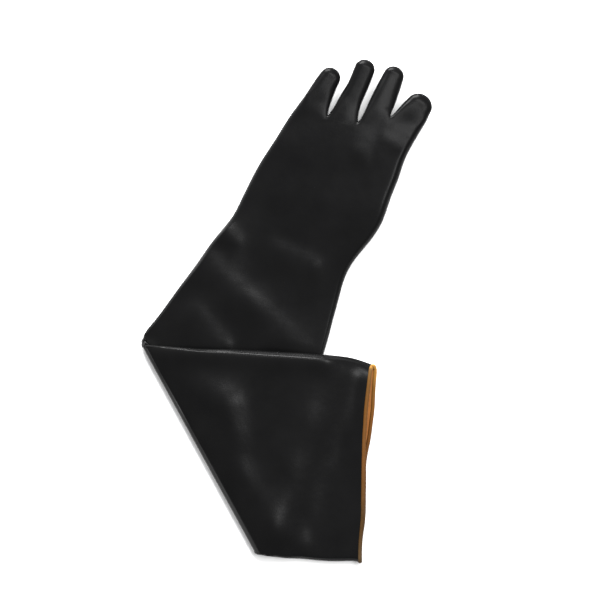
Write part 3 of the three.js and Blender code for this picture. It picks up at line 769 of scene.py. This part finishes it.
def bead_mesh(points, faces, steps):
    """Tube round the edge of the mouth, closing the wall of rubber and lining."""
    loop = mouth_loop(faces)
    line, across = points[loop], unit(steps[loop])
    run = np.roll(line, -1, axis=0) - np.roll(line, 1, axis=0)
    ahead = unit(np.cross(run, across))
    half_wall = (RUBBER_WALL + PIECE_GAP + LINING_WALL) / 2
    reach = PIECE_GAP + BEAD_RADIUS - BEAD_OVERLAP
    centres = line - steps[loop] * half_wall + ahead * reach
    tube = []
    for side in range(BEAD_SIDES):
        angle = 2 * math.pi * (side + 0.5) / BEAD_SIDES
        tube.append(centres + BEAD_RADIUS * (across * math.cos(angle) + ahead * math.sin(angle)))
    tube = np.maximum(np.stack(tube, axis=1).reshape(-1, 3), [-math.inf, -math.inf, 0])
    quads = []
    for i in range(len(loop)):
        for side in range(BEAD_SIDES):
            here, after = i * BEAD_SIDES, (i + 1) % len(loop) * BEAD_SIDES
            turn = (side + 1) % BEAD_SIDES
            quads.append([here + side, here + turn, after + turn, after + side])
    return tube, np.array(quads)


def add_node(tree, kind, inputs, **settings):
    """Adds a node. Each input is a value, or another node's output to link from."""
    node = tree.nodes.new(kind)
    for name, value in settings.items():
        setattr(node, name, value)
    for name, value in inputs.items():
        if isinstance(value, bpy.types.NodeSocket):
            tree.links.new(value, node.inputs[name])
        else:
            node.inputs[name].default_value = value
    return node


def new_material(name):
    """A material, its node tree, its shader and the object coordinates."""
    material = bpy.data.materials.new(name)
    material.use_nodes = True
    tree = material.node_tree
    place = add_node(tree, "ShaderNodeTexCoord", {}).outputs["Object"]
    return material, tree, tree.nodes["Principled BSDF"], place


def ramp(tree, factor, *stops):
    """Colours between stops of (position, (red, green, blue))."""
    node = add_node(tree, "ShaderNodeValToRGB", {"Fac": factor})
    elements = node.color_ramp.elements
    while len(elements) < len(stops):
        elements.new(0.5)
    for element, (position, colour) in zip(elements, stops):
        element.position = position
        element.color = (*colour, 1)
    return node.outputs["Color"]


def grain(tree, place, scale, detail=3.0, roughness=0.5):
    """Noise with about so many spots per metre."""
    node = add_node(tree, "ShaderNodeTexNoise", {
        "Vector": place, "Scale": scale, "Detail": detail, "Roughness": roughness})
    return node.outputs["Fac"]


def set_range(tree, value, low, high):
    """Spreads a noise value over low to high."""
    node = add_node(tree, "ShaderNodeMapRange", {
        "Value": value, "From Min": 0.3, "From Max": 0.7, "To Min": low, "To Max": high})
    return node.outputs["Result"]


def bump(tree, height, distance, strength, normal=None):
    """Small relief of the shading, on top of that of an earlier bump where one is given."""
    inputs = {"Height": height, "Distance": distance, "Strength": strength}
    if normal:
        inputs["Normal"] = normal
    return add_node(tree, "ShaderNodeBump", inputs).outputs["Normal"]


def black_rubber():
    """Satin black rubber with faint mottling, scuffs and fine grain, duller towards the fingers."""
    material, tree, shader, place = new_material("black_rubber")
    mottle = grain(tree, place, 26, detail=5)
    colour = ramp(tree, mottle, (0.3, (0.0022, 0.0022, 0.0023)), (0.7, (0.0034, 0.0034, 0.0035)))
    tree.links.new(colour, shader.inputs["Base Color"])
    scuffs = grain(tree, place, 90, detail=6, roughness=0.7)
    tree.links.new(set_range(tree, scuffs, 0.25, 0.30), shader.inputs["Roughness"])
    shader.inputs["IOR"].default_value = 1.165
    along = add_node(tree, "ShaderNodeSeparateXYZ", {"Vector": place}).outputs["Y"]
    shine = add_node(tree, "ShaderNodeMapRange", {
        "Value": along, "From Min": 0.08, "From Max": 0.17, "To Min": 0.5, "To Max": 0.28})
    tree.links.new(shine.outputs["Result"], shader.inputs["Specular IOR Level"])
    pits = bump(tree, grain(tree, place, 1500, detail=2), 0.0001, 0.25)
    dents = bump(tree, grain(tree, place, 70, detail=2), 0.0006, 0.25, pits)
    tree.links.new(dents, shader.inputs["Normal"])
    return material


def orange_lining():
    """Dull orange inside layer with a fine cloth-like grain."""
    material, tree, shader, place = new_material("orange_lining")
    mottle = grain(tree, place, 120, detail=5)
    colour = ramp(tree, mottle, (0.3, (0.23, 0.078, 0.013)), (0.7, (0.31, 0.117, 0.022)))
    tree.links.new(colour, shader.inputs["Base Color"])
    shader.inputs["Roughness"].default_value = 0.75
    shader.inputs["Specular IOR Level"].default_value = 0.3
    weave = bump(tree, grain(tree, place, 2200, detail=2), 0.0002, 0.5)
    tree.links.new(weave, shader.inputs["Normal"])
    return material


def orange_bead():
    """Golden orange rolled rim with painted light and shade. The upper wall is painted browner and darker
    as shade. Along the mouth the colour is painted lighter towards the open top, where light falls in, and
    browner as shade towards the corner lying down.
    """
    material, tree, shader, place = new_material("orange_bead")
    axes = add_node(tree, "ShaderNodeSeparateXYZ", {"Vector": place}).outputs
    along = add_node(tree, "ShaderNodeMapRange", {
        "Value": axes["Y"], "From Min": -0.262, "From Max": -0.05}).outputs["Result"]
    # The upper wall, picked out by height, is where the painted shade goes
    upper_wall_shade = add_node(tree, "ShaderNodeMapRange", {
        "Value": axes["Z"], "From Min": 0.009, "From Max": 0.013}).outputs["Result"]
    # Painted shade: the upper wall is darker than the lower one all along the mouth
    upper = ramp(
        tree, along,
        (0.0, (0.055, 0.036, 0.018)), (0.15, (0.033, 0.017, 0.005)), (0.25, (0.038, 0.019, 0.006)),
        (0.32, (0.063, 0.028, 0.007)), (0.5, (0.09, 0.035, 0.008)), (0.8, (0.088, 0.036, 0.007)),
        (1.0, (0.085, 0.044, 0.011)))
    # Painted light and shade of the lower wall: brightest towards the open top, where light falls in, and
    # browner towards the corner lying down
    lower = ramp(
        tree, along,
        (0.0, (0.055, 0.036, 0.018)), (0.5, (0.09, 0.035, 0.008)), (0.7, (0.12, 0.046, 0.009)),
        (0.86, (0.15, 0.066, 0.012)), (0.97, (0.42, 0.21, 0.045)))
    colour = add_node(tree, "ShaderNodeMix", {"A": lower, "B": upper, "Factor": upper_wall_shade}, data_type="RGBA")
    spots = add_node(tree, "ShaderNodeMix", {
        "Factor": set_range(tree, grain(tree, place, 300, detail=4), 0.0, 0.25),
        "A": colour.outputs["Result"], "B": (0.10, 0.05, 0.02, 1)}, data_type="RGBA")
    tree.links.new(spots.outputs["Result"], shader.inputs["Base Color"])
    shader.inputs["Roughness"].default_value = 0.6
    shader.inputs["Specular IOR Level"].default_value = 0.05
    grooves = bump(tree, grain(tree, place, 900, detail=2), 0.0002, 0.3)
    tree.links.new(grooves, shader.inputs["Normal"])
    return material


def add_piece(name, points, faces, material, node, slot):
    """A finished piece in the shared frame that stands for a node of the solids."""
    mesh = make_mesh(name, points + [CENTRE_SHIFT, 0, 0], faces)
    mesh.materials.append(material)
    mesh.shade_smooth()
    mesh.set_sharp_from_angle(angle=math.radians(SHARP_ANGLE))
    piece = bpy.data.objects.new(name, mesh)
    bpy.context.scene.collection.objects.link(piece)
    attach(piece, "root")
    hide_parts(node)


def dress():
    """Makes the three pieces from one refined skin."""
    points, faces, rows = refined(*build_skin())
    add_relief(points, faces, rows)
    steps = outward_steps(points, faces)
    body = wall(points, faces, steps, 0, RUBBER_WALL)
    add_piece("glove_skin", *body, black_rubber(), "glove_body", "black_rubber")

    first_sleeve_row = len(HAND_SECTIONS) + FOLD_STEPS + 2
    first_lined_row = first_sleeve_row + UNLINED_RINGS
    lined = faces[(rows[faces] > first_lined_row - ROW_TOLERANCE).all(axis=1)]
    outer_depth = RUBBER_WALL + PIECE_GAP
    inside = wall(points, lined, steps, outer_depth, outer_depth + LINING_WALL)
    add_piece("inside_layer", *inside, orange_lining(), "lining", "orange_lining")

    bead = bead_mesh(points, faces, steps)
    add_piece("rolled_bead", *bead, orange_bead(), "cuff_bead", "orange_bead")


# The photograph's frame, measured on the floor, the height of the camera and half the floor's width
FRAME_WIDTH = 0.6278
FRAME_CENTRE = (0.0133, 0.01205)
CAMERA_HEIGHT = 2.5
SENSOR_WIDTH = 36.0
FLOOR_HALF = 8.0


def add_camera():
    """Looks straight down, with the fingertips towards the top of the picture."""
    data = bpy.data.cameras.new("camera")
    data.sensor_width = SENSOR_WIDTH
    data.lens = SENSOR_WIDTH * CAMERA_HEIGHT / FRAME_WIDTH
    camera = bpy.data.objects.new("camera", data)
    camera.location = (*FRAME_CENTRE, CAMERA_HEIGHT)
    bpy.context.scene.collection.objects.link(camera)
    bpy.context.scene.camera = camera


def add_floor():
    mesh = bpy.data.meshes.new("floor")
    corners = [(x * FLOOR_HALF, y * FLOOR_HALF, 0) for x, y in ((-1, -1), (1, -1), (1, 1), (-1, 1))]
    mesh.from_pydata(corners, [], [(0, 1, 2, 3)])
    material, _, shader, _ = new_material("pale_floor")
    shader.inputs["Base Color"].default_value = (0.9, 0.9, 0.9, 1)
    shader.inputs["Roughness"].default_value = 0.9
    shader.inputs["Specular IOR Level"].default_value = 0.1
    mesh.materials.append(material)
    floor = bpy.data.objects.new("floor", mesh)
    bpy.context.scene.collection.objects.link(floor)


# Soft boxes: place and aim in metres, size of the box, and power in watts
SOFT_BOXES = [
    dict(name="key", place=(0.65, 1.15, 2.4), size=(1.5, 0.5), power=54),
    dict(name="side", place=(1.17, 0.1, 2.4), size=(0.6, 0.7), power=32),
    dict(name="panel", place=(-0.3, 2.0, 0.8), size=(1.2, 0.8), power=165),
]
WORLD_STRENGTH = 0.78


def add_lights():
    for box in SOFT_BOXES:
        data = bpy.data.lights.new(box["name"], "AREA")
        data.shape = "RECTANGLE"
        data.size, data.size_y = box["size"]
        data.energy = box["power"]
        light = bpy.data.objects.new(box["name"], data)
        light.location = box["place"]
        light.rotation_euler = (-Vector(box["place"])).to_track_quat("-Z", "Y").to_euler()
        light.visible_camera = False
        bpy.context.scene.collection.objects.link(light)
    world = bpy.data.worlds.new("studio")
    world.use_nodes = True
    world.node_tree.nodes["Background"].inputs["Color"].default_value = (1, 1, 1, 1)
    world.node_tree.nodes["Background"].inputs["Strength"].default_value = WORLD_STRENGTH
    bpy.context.scene.world = world
    bpy.context.scene.view_settings.view_transform = "Standard"


add_camera()
dress()
add_floor()
add_lights()
